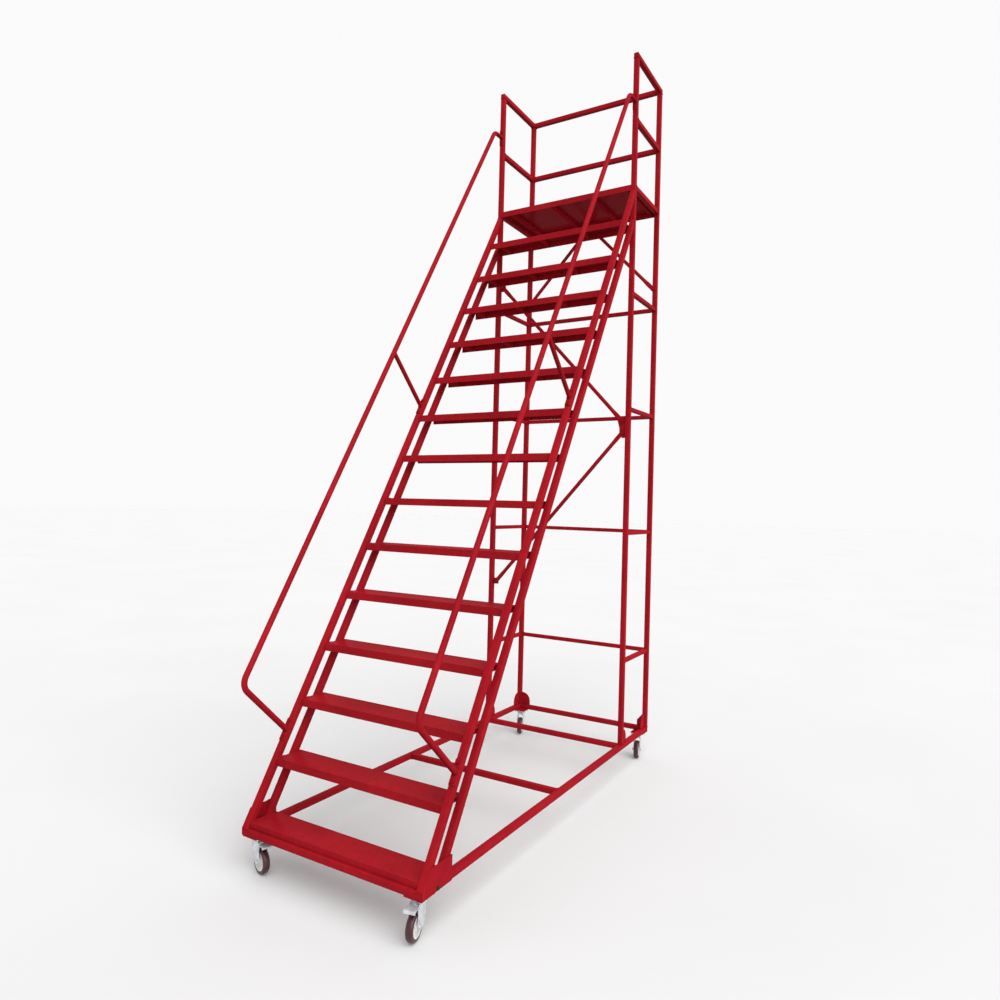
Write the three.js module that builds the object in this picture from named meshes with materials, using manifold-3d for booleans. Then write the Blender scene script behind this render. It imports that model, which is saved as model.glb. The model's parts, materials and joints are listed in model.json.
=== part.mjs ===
// Mobile ladder stand: fourteen steps between twin stringers, a railed platform on a four-post
// tower, and a wheeled base with four swivel casters. Millimetres, +Z up, +Y the climbing direction.
// The assembly is laid out from the nose of the bottom step (y = 0) and the floor (z = 0), and the
// whole group is then moved so that its origin is the middle of its footprint.
import * as THREE from 'three';
import { mergeVertices } from 'three/addons/utils/BufferGeometryUtils.js';
import Module from 'manifold-3d';

const wasm = await Module();
wasm.setup();

// ---------------------------------------------------------------- driving dimensions
const GAP = 0.3; // clearance between neighbouring pieces
const HALF_WIDTH = 510; // centre plane to the outer face of the frame
const TUBE = 30; // square tube of the frame
const TIE_TUBE = 25; // lighter square tube of the ties
const WALL = 2; // wall of every square tube
const BASE_BOTTOM = 168; // underside of the base rails above the floor

const RISE = 250; // between steps 1 to 13
const RUN = 148.2; // going of one such rise, so the stringers lean at about 60 degrees
const TOP_RISE = 272.5; // the last two rises, to step 14 and to the platform
const STEP_COUNT = 14;
const REGULAR_STEPS = 13;
const FIRST_STEP_HEIGHT = 58; // top of step 1 above the underside of the base
const STEP_DEPTH = 148;
const SHEET = 3; // folded steel sheet of the steps and the platform
const FLANGE = 38; // downturned edge of a step
const STRINGER_DEPTH = 125; // over both stringer tubes, square to the slope

const TOWER_FRONT = 2080; // front face of the front posts
const TOWER_REAR = 2565; // rear face of the rear posts
const BASE_FRONT = -16; // front face of the base
const TIE_TOPS = [571, 1387, 2181, 2923]; // above the underside of the base
const MID_RAIL_ABOVE_DECK = 433;
const TOP_RAIL_ABOVE_DECK = 844;

const RAIL_DIAMETER = 28; // handrail tube
const RAIL_LIFT = 725; // handrail centre line above the nose line, measured vertically
const BRACE_DIAMETER = 25;

const WHEEL_DIAMETER = 115;
const CASTER_TRAIL = 40; // swivel axis to axle, horizontally
const CASTER_INSET = 50; // swivel axis from the outer corner of the base, both ways
// rest angle of each swivel about +Z; at 0 the wheel trails towards -Y
const CASTER_TURN = { front_left: 74, front_right: 13, rear_left: 20, rear_right: 12 };

// ---------------------------------------------------------------- derived places
const INNER = HALF_WIDTH - TUBE; // inner face of the frame
const RAIL_X = HALF_WIDTH - TUBE / 2; // middle plane of each side frame
const baseZ = (height) => BASE_BOTTOM + height;
const DECK_TOP = baseZ(FIRST_STEP_HEIGHT + (REGULAR_STEPS - 1) * RISE + 2 * TOP_RISE);
const RAIL_TOP = baseZ(TUBE); // upper face of the base rails
const SLOPE = Math.atan2(RISE, RUN);
const noseY = (z) => (z - baseZ(FIRST_STEP_HEIGHT)) * (RUN / RISE);
const noseZ = (y) => baseZ(FIRST_STEP_HEIGHT) + y * (RISE / RUN);
const CENTRE_Y = 1250.78; // middle of the footprint, from the nose of step 1

// ---------------------------------------------------------------- materials
const paint = (tone) => new THREE.MeshStandardMaterial({ color: tone, roughness: 0.35, metalness: 0.1 });
const RED = 0xa81c28;
const ZINC = 0xb9bec4;
const STEEL = 0x9aa0a6;
const zinc = (tone) => new THREE.MeshStandardMaterial({ color: tone, roughness: 0.4, metalness: 0.9 });
const tyreMaterial = () => new THREE.MeshStandardMaterial({ color: 0x4a1f24, roughness: 0.5, metalness: 0 });

// ---------------------------------------------------------------- small tools
function solid(geometry) {
  const bare = geometry.clone();
  bare.deleteAttribute('normal');
  bare.deleteAttribute('uv');
  const merged = mergeVertices(bare, 1e-4);
  return new wasm.Manifold(new wasm.Mesh({
    numProp: 3,
    vertProperties: new Float32Array(merged.attributes.position.array),
    triVerts: new Uint32Array(merged.index.array),
  }));
}

function geometryOf(manifold) {
  const mesh = manifold.getMesh();
  const geometry = new THREE.BufferGeometry();
  geometry.setAttribute('position', new THREE.BufferAttribute(new Float32Array(mesh.vertProperties), 3));
  geometry.setIndex(new THREE.BufferAttribute(new Uint32Array(mesh.triVerts), 1));
  return geometry;
}

const joined = (geometries) => geometryOf(geometries.map(solid).reduce((whole, next) => whole.add(next)));

function cut(geometry, tools) {
  return geometryOf(tools.map(solid).reduce((body, tool) => body.subtract(tool), solid(geometry)));
}

// a block between two corners
function block([x0, y0, z0], [x1, y1, z1]) {
  const geometry = new THREE.BoxGeometry(x1 - x0, y1 - y0, z1 - z0);
  return geometry.translate((x0 + x1) / 2, (y0 + y1) / 2, (z0 + z1) / 2);
}

// an outline drawn in the side view (y, z), given a width along x and centred on x = 0
function sidePlate(outline, width) {
  const shape = new THREE.Shape(outline.map(([y, z]) => new THREE.Vector2(y, z)));
  const geometry = new THREE.ExtrudeGeometry(shape, { depth: width, bevelEnabled: false, steps: 1 });
  const toSideView = new THREE.Matrix4().makeBasis(
    new THREE.Vector3(0, 1, 0), new THREE.Vector3(0, 0, 1), new THREE.Vector3(1, 0, 0));
  return geometry.applyMatrix4(toSideView).translate(-width / 2, 0, 0);
}

// a square tube along z, open at both ends and centred on the origin
function squareTube(size, length) {
  const half = size / 2;
  const corners = (h) => [[-h, -h], [h, -h], [h, h], [-h, h]].map(([x, y]) => new THREE.Vector2(x, y));
  const shape = new THREE.Shape(corners(half));
  shape.holes.push(new THREE.Path(corners(half - WALL)));
  const geometry = new THREE.ExtrudeGeometry(shape, { depth: length, bevelEnabled: false, steps: 1 });
  return geometry.translate(0, 0, -length / 2);
}

// turns geometry made along z so that it runs along the named axis
function along(axis, geometry) {
  if (axis === 'x') geometry.rotateY(Math.PI / 2);
  if (axis === 'y') geometry.rotateX(Math.PI / 2);
  return geometry;
}

function mesh(name, geometry, material, position = [0, 0, 0]) {
  const piece = new THREE.Mesh(geometry, material);
  piece.name = name;
  piece.position.set(...position);
  return piece;
}

// a straight tube between two coordinates on one axis, with the other two fixed
function tubePiece(name, axis, from, to, centre, size = TUBE) {
  const middle = (from + to) / 2;
  const position = {
    x: [middle, ...centre],
    y: [centre[0], middle, centre[1]],
    z: [...centre, middle],
  }[axis];
  return mesh(name, along(axis, squareTube(size, to - from)), paint(RED), position);
}

// ---------------------------------------------------------------- steps and platform
const RIB_PLACES = [-400, -100, 200, 455]; // ribs under every step and the platform, along x
const KNEE_PLANE = TOWER_REAR - TUBE - 4; // middle of the knee braces, front to back
const KNEE_DROP = FLANGE + 24; // upper bolts of the knee braces below the platform

// a folded tray, open below, with plate ribs running front to back under it
function ribbedTray(length, depth, drop, frontDrop = drop) {
  const tray = sidePlate([
    [0, 0], [0, -frontDrop], [SHEET, -frontDrop], [SHEET, -SHEET],
    [depth - SHEET, -SHEET], [depth - SHEET, -drop], [depth, -drop], [depth, 0],
  ], length);
  const ribDrop = Math.min(drop, frontDrop) - 2;
  const bite = SHEET / 2;
  const ribs = RIB_PLACES.map((x) => block([x - 2, bite, -ribDrop], [x + 2, depth - bite, -bite]));
  return joined([tray, ...ribs]);
}

function steps() {
  const group = new THREE.Group();
  const length = 2 * (INNER - GAP);
  for (let number = 1; number <= STEP_COUNT; number += 1) {
    const regular = Math.min(number, REGULAR_STEPS) - 1;
    const top = baseZ(FIRST_STEP_HEIGHT + regular * RISE) + Math.max(0, number - REGULAR_STEPS) * TOP_RISE;
    // the bottom step stands on the front beam, so its front edge is shorter
    const frontDrop = number === 1 ? top - RAIL_TOP - GAP : FLANGE;
    const name = `step_${String(number).padStart(2, '0')}`;
    const tray = ribbedTray(length, STEP_DEPTH, FLANGE, frontDrop);
    group.add(mesh(name, tray, paint(RED), [0, noseY(top), top]));
  }
  return group;
}

function platformDeck() {
  const depth = TOWER_REAR - TOWER_FRONT;
  const deck = ribbedTray(2 * (INNER - GAP), depth, FLANGE);
  // a plate hangs down behind the tops of the knee braces
  const hangerFront = KNEE_PLANE - TOWER_FRONT + 3;
  const hanger = block([-48, hangerFront, -KNEE_DROP - 20], [48, hangerFront + 5, -1]);
  return mesh('platform_deck', joined([deck, hanger]), paint(RED), [0, TOWER_FRONT, DECK_TOP]);
}

// ---------------------------------------------------------------- stringers
// side-view outline of a tube that lies between two depths behind the nose line
function stringerOutline(near, far, reach = 0) {
  const shift = (depth) => depth / Math.sin(SLOPE);
  const bottom = RAIL_TOP + GAP - reach;
  const front = TOWER_FRONT - GAP + reach;
  const corner = (depth, atFoot) => (atFoot
    ? [noseY(bottom) + shift(depth), bottom]
    : [front, noseZ(front - shift(depth))]);
  return [corner(near, true), corner(near, false), corner(far, false), corner(far, true)].reverse();
}

function stringer(name, side, near) {
  const outer = sidePlate(stringerOutline(near, near + TUBE), TUBE);
  const core = sidePlate(stringerOutline(near + WALL, near + TUBE - WALL, 50), TUBE - 2 * WALL);
  return mesh(name, cut(outer, [core]), paint(RED), [side * RAIL_X, 0, 0]);
}

// ---------------------------------------------------------------- base
const GUSSET_TOP = 107; // above the underside of the base
const GUSSET_REAR = 183;
const PLATE = 4;

function baseGusset(name, side) {
  const top = baseZ(GUSSET_TOP);
  const outline = [
    [BASE_FRONT, BASE_BOTTOM], [GUSSET_REAR, BASE_BOTTOM], [GUSSET_REAR, top],
    [noseY(top), top], [BASE_FRONT, RAIL_TOP],
  ];
  return mesh(name, sidePlate(outline, PLATE), paint(RED), [side * (HALF_WIDTH + GAP + PLATE / 2), 0, 0]);
}

const PAD = 90; // square corner pads that carry the casters
const PAD_THICKNESS = 6;

// a side rail with the two caster pads welded under its ends
function sideRail(name, side) {
  const front = BASE_FRONT + TUBE + GAP;
  const rail = along('y', squareTube(TUBE, TOWER_REAR - front))
    .translate(0, (front + TOWER_REAR) / 2, TUBE / 2);
  const weld = (y0, y1) => block([-TUBE / 2, y0, -1], [TUBE / 2, y1, WALL / 2]);
  const inner = side * (TUBE / 2 - PAD);
  const outer = side * (TUBE / 2);
  const pad = (y) => block(
    [Math.min(inner, outer), y, -PAD_THICKNESS], [Math.max(inner, outer), y + PAD, -GAP]);
  const rearPad = TOWER_REAR - PAD;
  const pads = [pad(BASE_FRONT), weld(front, BASE_FRONT + PAD), pad(rearPad), weld(rearPad, TOWER_REAR)];
  return mesh(name, joined([rail, ...pads]), paint(RED), [side * RAIL_X, 0, BASE_BOTTOM]);
}

function base() {
  const group = new THREE.Group();
  const railZ = baseZ(TUBE / 2);
  group.add(tubePiece('front_beam', 'x', -HALF_WIDTH, HALF_WIDTH, [BASE_FRONT + TUBE / 2, railZ]));
  group.add(sideRail('base_rail_left', -1), sideRail('base_rail_right', 1));
  group.add(baseGusset('base_gusset_left', -1), baseGusset('base_gusset_right', 1));
  const tieMiddles = {
    base_tie_front: 1210,
    base_tie_tower: TOWER_FRONT + TUBE / 2,
    base_tie_rear: TOWER_REAR - TUBE / 2,
  };
  for (const [name, y] of Object.entries(tieMiddles)) {
    group.add(tubePiece(name, 'x', -INNER + GAP, INNER - GAP, [y, railZ]));
  }
  return group;
}

// ---------------------------------------------------------------- tower
const TAB = 42; // small plates on the left front post that take the brace ends
const BRACE_PLANE = TOWER_FRONT + 9; // middle of the braces, front to back
const TAB_FRONT = BRACE_PLANE + 3;
const TAB_THICKNESS = 5;
const BRACE_HEIGHTS = { upper: 3063, gussetUpper: 2090, gussetLower: 2015, lower: 998 };
const POST_TOP = DECK_TOP + TOP_RAIL_ABOVE_DECK - TUBE - GAP;
const FOOT = { length: 72, height: 90 }; // rounded plates at the foot of the posts
const CLIPPED_FOOT = { length: 42, height: 88, side: 38 }; // the one plate with a sloping top

// a plate with one rounded or clipped corner, square corner at the origin, in the plane of x (or y) and z
function footPlate(axis, direction, clipped = false) {
  const outline = new THREE.Shape();
  outline.moveTo(-1, 0);
  if (clipped) {
    outline.lineTo(CLIPPED_FOOT.length, 0);
    outline.lineTo(CLIPPED_FOOT.length, CLIPPED_FOOT.side);
    outline.lineTo(-1, CLIPPED_FOOT.height);
  } else {
    outline.lineTo(FOOT.length, 0);
    outline.lineTo(FOOT.length, FOOT.height * 0.35);
    outline.quadraticCurveTo(FOOT.length * 0.9, FOOT.height, -1, FOOT.height);
  }
  outline.closePath();
  const geometry = new THREE.ExtrudeGeometry(
    outline, { depth: TAB_THICKNESS, bevelEnabled: false, steps: 1, curveSegments: 5 });
  geometry.translate(0, 0, -TAB_THICKNESS / 2).rotateX(Math.PI / 2);
  const quarterTurns = { 'x+': 0, 'y+': 1, 'x-': 2, 'y-': 3 }[axis + direction];
  return geometry.rotateZ(quarterTurns * Math.PI / 2);
}

// two posts, the side ties between them and the platform's edge tube, welded into one ladder frame
function sideFrame(name, side) {
  const bottom = RAIL_TOP + GAP;
  const postMiddles = [TOWER_FRONT + TUBE / 2, TOWER_REAR - TUBE / 2];
  const bars = TIE_TOPS.map((top) => ({ top: baseZ(top), size: TIE_TUBE }));
  bars.push({ top: DECK_TOP, size: TUBE });
  const tubes = (inset, reach) => {
    const half = TUBE / 2 - inset;
    const posts = postMiddles.map((y) => block(
      [-half, y - half, bottom - reach], [half, y + half, POST_TOP + reach]));
    const ties = bars.map(({ top, size }) => block(
      [-size / 2 + inset, postMiddles[0] + half - 1, top - size + inset],
      [size / 2 - inset, postMiddles[1] - half + 1, top - inset]));
    return [...posts, ...ties];
  };
  const [frontMiddle, rearMiddle] = postMiddles;
  const feet = [
    footPlate('y', '+').translate(0, frontMiddle + TUBE / 2, bottom),
    footPlate('y', '-').translate(0, rearMiddle - TUBE / 2, bottom),
    footPlate('x', side > 0 ? '-' : '+', side > 0).translate(-side * TUBE / 2, rearMiddle, bottom),
  ];
  const tabs = side > 0 ? [] : ['upper', 'lower'].map((end) => {
    const z = baseZ(BRACE_HEIGHTS[end]);
    const inner = TUBE / 2;
    return block([inner - 1, TAB_FRONT, z - TAB / 2], [inner + TAB, TAB_FRONT + TAB_THICKNESS, z + TAB / 2]);
  });
  const outer = joined([...tubes(0, 0), ...feet, ...tabs]);
  return mesh(name, cut(outer, tubes(WALL, 50)), paint(RED), [side * RAIL_X, 0, 0]);
}

function tower() {
  const group = new THREE.Group();
  const rearMiddle = TOWER_REAR - TUBE / 2;
  group.add(sideFrame('side_frame_left', -1), sideFrame('side_frame_right', 1));
  TIE_TOPS.forEach((top, index) => {
    const centre = [rearMiddle, baseZ(top) - TIE_TUBE / 2];
    group.add(tubePiece(`rear_tie_${index + 1}`, 'x', -INNER + GAP, INNER - GAP, centre, TIE_TUBE));
  });
  const midZ = DECK_TOP + MID_RAIL_ABOVE_DECK - TUBE / 2;
  const topZ = DECK_TOP + TOP_RAIL_ABOVE_DECK - TUBE / 2;
  for (const [side, x] of [['left', -RAIL_X], ['right', RAIL_X]]) {
    const [front, rear] = [TOWER_FRONT + TUBE + GAP, TOWER_REAR - TUBE - GAP];
    group.add(tubePiece(`guard_mid_${side}`, 'y', front, rear, [x, midZ]));
    group.add(tubePiece(`guard_top_${side}`, 'y', TOWER_FRONT, TOWER_REAR, [x, topZ]));
  }
  group.add(tubePiece('guard_mid_rear', 'x', -INNER + GAP, INNER - GAP, [rearMiddle, midZ]));
  group.add(tubePiece('guard_top_rear', 'x', -INNER + GAP, INNER - GAP, [rearMiddle, topZ]));
  return group;
}

// ---------------------------------------------------------------- braces
// a round tube along y with both ends pressed flat; a small vent keeps its bore open to the air
function flattenedTube(length) {
  const flat = 68;
  const taper = 40;
  const stations = [0, flat, flat + taper, length - flat - taper, length - flat, length];
  const radius = BRACE_DIAMETER / 2;
  const outer = new THREE.CylinderGeometry(radius, radius, 1, 16, stations.length - 1);
  const place = outer.attributes.position;
  for (let i = 0; i < place.count; i += 1) {
    const station = Math.round((place.getY(i) + 0.5) * (stations.length - 1));
    const pressed = station < 2 || station > stations.length - 3;
    place.setY(i, stations[station] - length / 2);
    if (pressed) {
      place.setX(i, place.getX(i) * 1.2);
      place.setZ(i, place.getZ(i) * 0.18);
    }
  }
  const bore = new THREE.CylinderGeometry(radius - WALL, radius - WALL, length - 2 * (flat + taper), 10);
  const vent = new THREE.CylinderGeometry(2, 2, radius, 6).rotateX(Math.PI / 2).translate(0, 0, radius);
  return cut(outer, [bore, vent]);
}

// a flattened tube between two points of the plane y = const
function brace(name, [x0, z0], [x1, z1], y) {
  const past = 13; // the flat end reaches past the bolt
  const length = Math.hypot(x1 - x0, z1 - z0) + 2 * past;
  const piece = mesh(name, flattenedTube(length), paint(RED), [(x0 + x1) / 2, y, (z0 + z1) / 2]);
  piece.rotation.y = Math.atan2(x1 - x0, z1 - z0);
  piece.geometry.rotateX(Math.PI / 2);
  return piece;
}

function braces() {
  const group = new THREE.Group();
  const tabX = -INNER + TAB * 0.6;
  const gussetX = INNER - 24;
  const h = BRACE_HEIGHTS;
  group.add(brace('brace_upper', [tabX, baseZ(h.upper)], [gussetX, baseZ(h.gussetUpper)], BRACE_PLANE));
  group.add(brace('brace_lower', [gussetX, baseZ(h.gussetLower)], [tabX, baseZ(h.lower)], BRACE_PLANE));

  const gusset = new THREE.Shape();
  const [low, high] = [h.gussetLower - 32, h.gussetUpper + 34];
  gusset.moveTo(INNER - GAP, baseZ(low));
  gusset.lineTo(INNER - GAP, baseZ(high));
  gusset.lineTo(INNER - 64, baseZ(high));
  gusset.lineTo(INNER - 43, baseZ(high - 78));
  gusset.lineTo(INNER - 43, baseZ(low + 22));
  gusset.lineTo(INNER - 24, baseZ(low));
  gusset.closePath();
  const plate = new THREE.ExtrudeGeometry(gusset, { depth: TAB_THICKNESS, bevelEnabled: false, steps: 1 });
  plate.rotateX(Math.PI / 2);
  group.add(mesh('brace_gusset', plate, paint(RED), [0, TAB_FRONT + TAB_THICKNESS, 0]));

  // knee braces hold up the back edge of the platform
  const kneeTop = DECK_TOP - KNEE_DROP;
  const kneeFoot = kneeTop - 492;
  group.add(brace('knee_brace_left', [-24, kneeTop], [-INNER - 10, kneeFoot], KNEE_PLANE));
  group.add(brace('knee_brace_right', [24, kneeTop], [INNER + 10, kneeFoot], KNEE_PLANE));
  return group;
}

// ---------------------------------------------------------------- handrails
// a line through a list of points, taken point by point
class PointPath extends THREE.Curve {
  constructor(points) {
    super();
    this.points = points;
  }

  getUtoTmapping(u) {
    return u;
  }

  getPoint(t) {
    const place = Math.min(t * (this.points.length - 1), this.points.length - 1 - 1e-9);
    const index = Math.floor(place);
    return this.points[index].clone().lerp(this.points[index + 1], place - index);
  }

  getTangent(t) {
    const index = Math.round(t * (this.points.length - 1));
    const before = this.points[Math.max(index - 1, 0)];
    const here = this.points[index];
    const after = this.points[Math.min(index + 1, this.points.length - 1)];
    const tangent = new THREE.Vector3();
    if (index > 0) tangent.add(here.clone().sub(before).normalize());
    if (index < this.points.length - 1) tangent.add(after.clone().sub(here).normalize());
    return tangent.normalize();
  }
}

// replaces every inner corner of a list of points by an arc
function roundedPath(corners, radius, pieces) {
  const points = [corners[0]];
  for (let i = 1; i < corners.length - 1; i += 1) {
    const into = corners[i].clone().sub(corners[i - 1]).normalize();
    const out = corners[i + 1].clone().sub(corners[i]).normalize();
    const turn = into.angleTo(out);
    const axis = into.clone().cross(out).normalize();
    const start = corners[i].clone().addScaledVector(into, -radius * Math.tan(turn / 2));
    const arm = into.clone().cross(axis).multiplyScalar(radius);
    const centre = start.clone().sub(arm);
    for (let k = 0; k <= pieces; k += 1) {
      points.push(arm.clone().applyAxisAngle(axis, (turn * k) / pieces).add(centre));
    }
  }
  points.push(corners[corners.length - 1]);
  return points;
}

function roundBar(points, radius) {
  const shape = new THREE.Shape();
  shape.absarc(0, 0, radius, 0, 2 * Math.PI);
  return new THREE.ExtrudeGeometry(shape, {
    steps: points.length - 1, curveSegments: 9, bevelEnabled: false, extrudePath: new PointPath(points),
  });
}

const HANDRAIL_BEND = 60;
const HANDRAIL_FLANGE = { length: 108, width: 29, thickness: 5 };
const STRUT_DIAMETER = 25;
const HANDRAIL_LEVEL = baseZ(4134); // top run of the handrail, at the front posts
const LOWER_END_Y = 217; // where the bent foot of the handrail meets the stringer
const STRUT_Y = { rail: 955, stringer: 1221 };

function handrail(name, side) {
  const at = (y, z) => new THREE.Vector3(0, y, z);
  const onRail = (y) => at(y, noseZ(y) + RAIL_LIFT);
  const { length, width, thickness } = HANDRAIL_FLANGE;
  const away = GAP + thickness / 2; // flange middle, off the face it is bolted to
  const normal = new THREE.Vector3(0, -Math.sin(SLOPE), Math.cos(SLOPE));
  const onFace = (y) => at(y, noseZ(y)).addScaledVector(normal, away);
  const levelBend = onRail((HANDRAIL_LEVEL - RAIL_LIFT - noseZ(0)) * (RUN / RISE));
  const corners = [at(TOWER_FRONT - away, HANDRAIL_LEVEL), levelBend, onRail(-57), onFace(LOWER_END_Y)];
  const line = roundedPath(corners, HANDRAIL_BEND, 6);
  const strutLine = [onRail(STRUT_Y.rail), onFace(STRUT_Y.stringer)];
  const flange = (place, tilt) => new THREE.BoxGeometry(width, length, thickness)
    .rotateX(tilt).translate(place.x, place.y, place.z);
  const past = (points, reach) => {
    const longer = [...points];
    const last = longer.length - 1;
    const tail = longer[last].clone().sub(longer[last - 1]).normalize();
    longer[last] = longer[last].clone().addScaledVector(tail, reach);
    return longer;
  };
  const bothEndsPast = (points, reach) => past(past(points, reach).reverse(), reach);
  const wall = RAIL_DIAMETER / 2 - WALL;
  const bore = roundBar(bothEndsPast(line, 3 * away), wall);
  const strutBore = roundBar(past(strutLine, 3 * away), STRUT_DIAMETER / 2 - WALL);
  // the bars run on past their flanges and are trimmed flush with them
  const trim = (place) => new THREE.BoxGeometry(60, 200, 40).rotateX(SLOPE)
    .translate(place.x, place.y, place.z)
    .translate(...normal.clone().multiplyScalar(-20 - thickness / 2).toArray());
  const outer = joined([
    roundBar(past(line, away), RAIL_DIAMETER / 2),
    roundBar(past(strutLine, away), STRUT_DIAMETER / 2),
    flange(corners[0], Math.PI / 2),
    flange(corners[3], SLOPE),
    flange(strutLine[1], SLOPE),
  ]);
  const tools = [bore, strutBore, trim(corners[3]), trim(strutLine[1])];
  return mesh(name, cut(outer, tools), paint(RED), [side * RAIL_X, 0, 0]);
}

// ---------------------------------------------------------------- casters
const WHEEL_RADIUS = WHEEL_DIAMETER / 2;
const CASTER_TOP = BASE_BOTTOM - PAD_THICKNESS - GAP;
const TOP_PLATE = { size: 80, thickness: 4 };
const RACEWAY = { radius: 31, height: 8 };
const CROWN_TOP = CASTER_TOP - TOP_PLATE.thickness - RACEWAY.height - GAP;
const KING_PIN_RADIUS = 6;
const LEG_INSIDE = 19; // half the space between the fork legs
const LEG_THICKNESS = 3;
const AXLE_RADIUS = 5;
const PEDAL_PIVOT = { y: -52, z: 136, radius: 2.5 };
const SKIRT = { front: 122, rear: 129 }; // lower edges of the folded ends of the crown, above the floor

// a cylinder along the named axis
const rod = (axis, radius, length, sides = 24) => (axis === 'y'
  ? new THREE.CylinderGeometry(radius, radius, length, sides)
  : along(axis, new THREE.CylinderGeometry(radius, radius, length, sides).rotateX(Math.PI / 2)));

function casterPlate(name) {
  const half = TOP_PLATE.size / 2;
  const plate = block([-half, -half, -TOP_PLATE.thickness], [half, half, 0]);
  const raceway = rod('z', RACEWAY.radius, RACEWAY.height + 1).translate(
    0, 0, -TOP_PLATE.thickness - (RACEWAY.height - 1) / 2);
  const pinHole = rod('z', KING_PIN_RADIUS + GAP, 60, 16);
  return mesh(name, cut(joined([plate, raceway]), [pinHole]), zinc(ZINC), [0, 0, CASTER_TOP]);
}

// side view of a fork leg: a broad pressed cheek, upright in front and drawn in to the axle behind
function legOutline(pedal) {
  const rear = pedal
    ? [[PEDAL_PIVOT.y - 7, CROWN_TOP - 5], [PEDAL_PIVOT.y - 7, PEDAL_PIVOT.z - 5]]
    : [[-42, CROWN_TOP - 5], [-45, PEDAL_PIVOT.z - 8]];
  return [
    [22, CROWN_TOP - 2], [-36, CROWN_TOP - 2], ...rear, [-50, 104], [-54, 74], [-56, 57], [-52, 48],
    [-44, 43], [-34, 42], [-12, 45], [4, 53], [14, 70], [20, 96],
  ];
}

function fork(name, pedal) {
  const outside = LEG_INSIDE + LEG_THICKNESS;
  const legs = [-1, 1].map((side) => sidePlate(legOutline(pedal), LEG_THICKNESS)
    .translate(side * (LEG_INSIDE + LEG_THICKNESS / 2), 0, 0));
  const parts = [
    ...legs,
    block([-outside, -30, CROWN_TOP - 4], [outside, 22, CROWN_TOP]),
    block([-outside, 19, SKIRT.front], [outside, 21, CROWN_TOP - 1]),
    block([-outside, -30, SKIRT.rear], [outside, -27, CROWN_TOP - 1]),
    rod('z', RACEWAY.radius - 2, 4).translate(0, 0, CROWN_TOP - 2),
    rod('z', KING_PIN_RADIUS, CASTER_TOP - CROWN_TOP, 16).translate(0, 0, (CASTER_TOP + CROWN_TOP) / 2 - 1),
    rod('x', AXLE_RADIUS, 2 * outside + 10, 16).translate(0, -CASTER_TRAIL, WHEEL_RADIUS),
  ];
  if (pedal) {
    parts.push(rod('x', PEDAL_PIVOT.radius, 2 * outside + 4, 12).translate(0, PEDAL_PIVOT.y, PEDAL_PIVOT.z));
  }
  return mesh(name, joined(parts), zinc(STEEL));
}

function wheel(name) {
  const half = [
    [AXLE_RADIUS + GAP, -18], [14, -18], [16, -6], [36, -6], [39, -14.5], [50, -16], [55, -13.5],
    [WHEEL_RADIUS, -7],
  ];
  const otherHalf = half.map(([radius, width]) => [radius, -width]).reverse();
  const profile = [...half, ...otherHalf, half[0]].map(([radius, width]) => new THREE.Vector2(radius, width));
  const turned = new THREE.LatheGeometry(profile, 28).rotateZ(Math.PI / 2);
  return mesh(name, geometryOf(solid(turned)), tyreMaterial(), [0, -CASTER_TRAIL, WHEEL_RADIUS]);
}

// a foot pedal that turns on a pin between the fork legs and spreads out behind them
function pedal(name) {
  const barrel = 6.5;
  const armWidth = 34;
  const treadWidth = 52;
  const arm = sidePlate([[0, 3.2], [0, 6.4], [-13, 6.4], [-13, 3.2]], armWidth);
  const tread = sidePlate([
    [-11, 3.4], [-11, 6.4], [-36, 5.4], [-41, 2.6], [-42, -5.5], [-39.2, -5.5], [-38.6, 0.6], [-35, 2.4],
  ], treadWidth);
  const shoe = sidePlate([[-3, -3], [-9, 4.5], [-19, 4.5], [-19, -17], [-13, -21], [-7, -20]], 24);
  const outer = joined([rod('x', barrel, armWidth, 20), arm, tread, shoe]);
  const bore = rod('x', PEDAL_PIVOT.radius + GAP, 60, 12);
  return mesh(name, cut(outer, [bore]), zinc(ZINC), [0, PEDAL_PIVOT.y, PEDAL_PIVOT.z]);
}

// a swivel caster: fixed top plate, and a fork that carries the wheel and perhaps a pedal
function caster(place, x, y) {
  const group = new THREE.Group();
  const hasPedal = place.startsWith('front');
  const swivel = new THREE.Group();
  swivel.add(fork(`caster_fork_${place}`, hasPedal), wheel(`caster_wheel_${place}`));
  if (hasPedal) {
    swivel.add(pedal(`brake_pedal_${place}`));
  }
  swivel.rotation.z = THREE.MathUtils.degToRad(CASTER_TURN[place]);
  group.add(casterPlate(`caster_plate_${place}`), swivel);
  group.position.set(x, y, 0);
  return group;
}

// ---------------------------------------------------------------- assembly
const ladder = new THREE.Group();
ladder.name = 'mobile_ladder_stand';
ladder.add(steps(), platformDeck(), tower(), braces(), base());
for (const [side, sign] of [['left', -1], ['right', 1]]) {
  ladder.add(stringer(`stringer_front_${side}`, sign, 0));
  ladder.add(stringer(`stringer_back_${side}`, sign, STRINGER_DEPTH - TUBE));
  ladder.add(handrail(`handrail_${side}`, sign));
  const x = sign * (HALF_WIDTH - CASTER_INSET);
  ladder.add(caster(`front_${side}`, x, BASE_FRONT + CASTER_INSET));
  ladder.add(caster(`rear_${side}`, x, TOWER_REAR - CASTER_INSET));
}
ladder.position.y = -CENTRE_Y;

export default ladder;
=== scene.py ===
"""Visual model of the mobile ladder stand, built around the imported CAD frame. Metres, +Z up, +Y the
climbing direction."""
import json
import math
import random

import bmesh
import bpy
from mathutils import Matrix, Vector


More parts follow.
